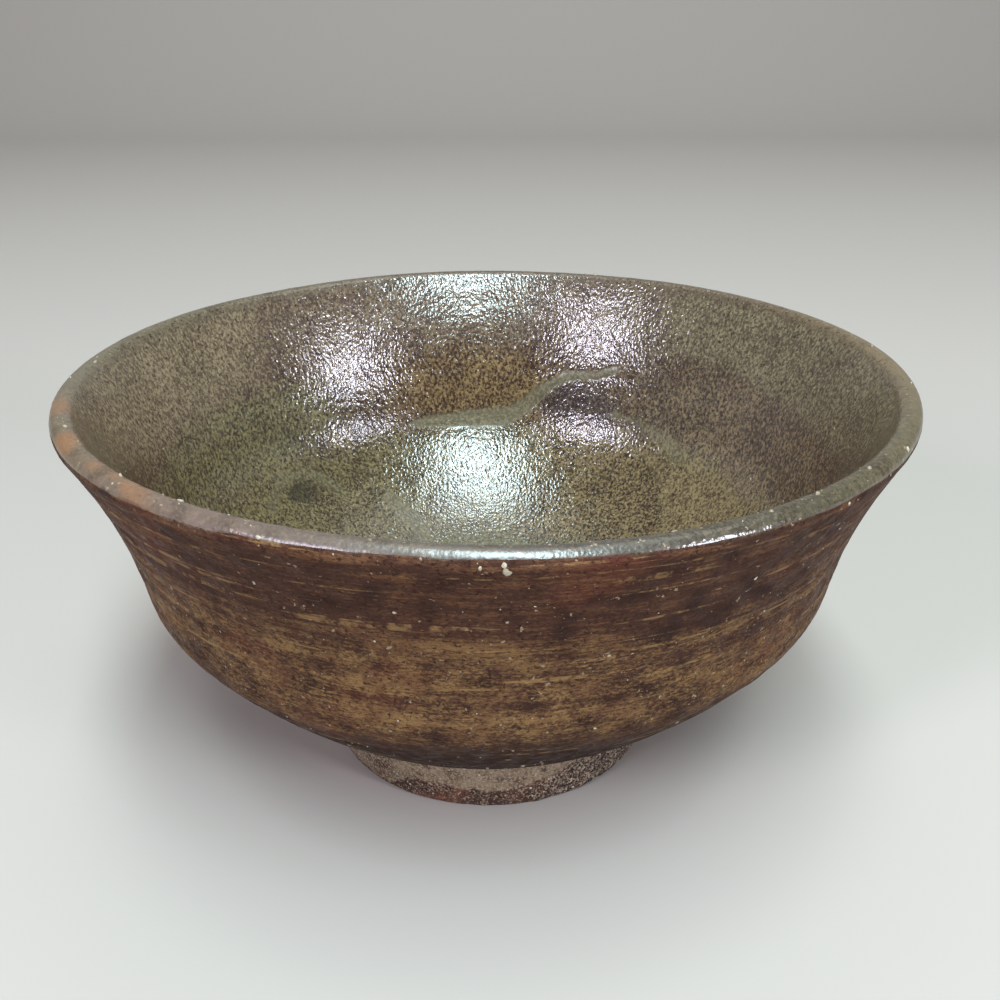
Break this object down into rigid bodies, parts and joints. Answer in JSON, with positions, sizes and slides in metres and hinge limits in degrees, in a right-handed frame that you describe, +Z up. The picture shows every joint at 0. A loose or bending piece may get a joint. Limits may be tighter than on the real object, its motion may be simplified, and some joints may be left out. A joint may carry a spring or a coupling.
{
  "type": "matcha bowl",
  "caption": "Round flared stoneware tea bowl with a rounded lip, a full waist, a bare turned foot ring, brown ash glaze and embedded feldspar grains.",
  "frame": {"origin": "centre of the foot ring's resting plane", "axes": "+Z up along the bowl's axis; +Y towards the back, where the ash run crosses the inside wall"},
  "size_m": [0.135, 0.135, 0.0685],
  "materials": {
    "clay": "fired stoneware, matte",
    "bare_clay": "bare coarse stoneware, rough",
    "outside_coat": "iron-brown ash glaze, satin, with ochre speckle",
    "inside_coat": "brown to olive ash glaze, satin to glossy, finely pebbled",
    "lip_coat": "thin tan to olive-grey glaze, glossy",
    "ash_glass": "melted grey-green ash, glossy",
    "feldspar": "pale feldspar, matte"
  },
  "bodies": {
    "root": {"clay_body": "clay", "foot_ring": "bare_clay", "outside_glaze": "outside_coat", "inside_glaze": "inside_coat", "lip_glaze": "lip_coat", "ash_pool": "ash_glass", "ash_run": "ash_glass", "outside_grains": "feldspar", "inside_grains": "feldspar", "lip_grains": "feldspar", "foot_grit": "feldspar"}
  },
  "joints": []
}
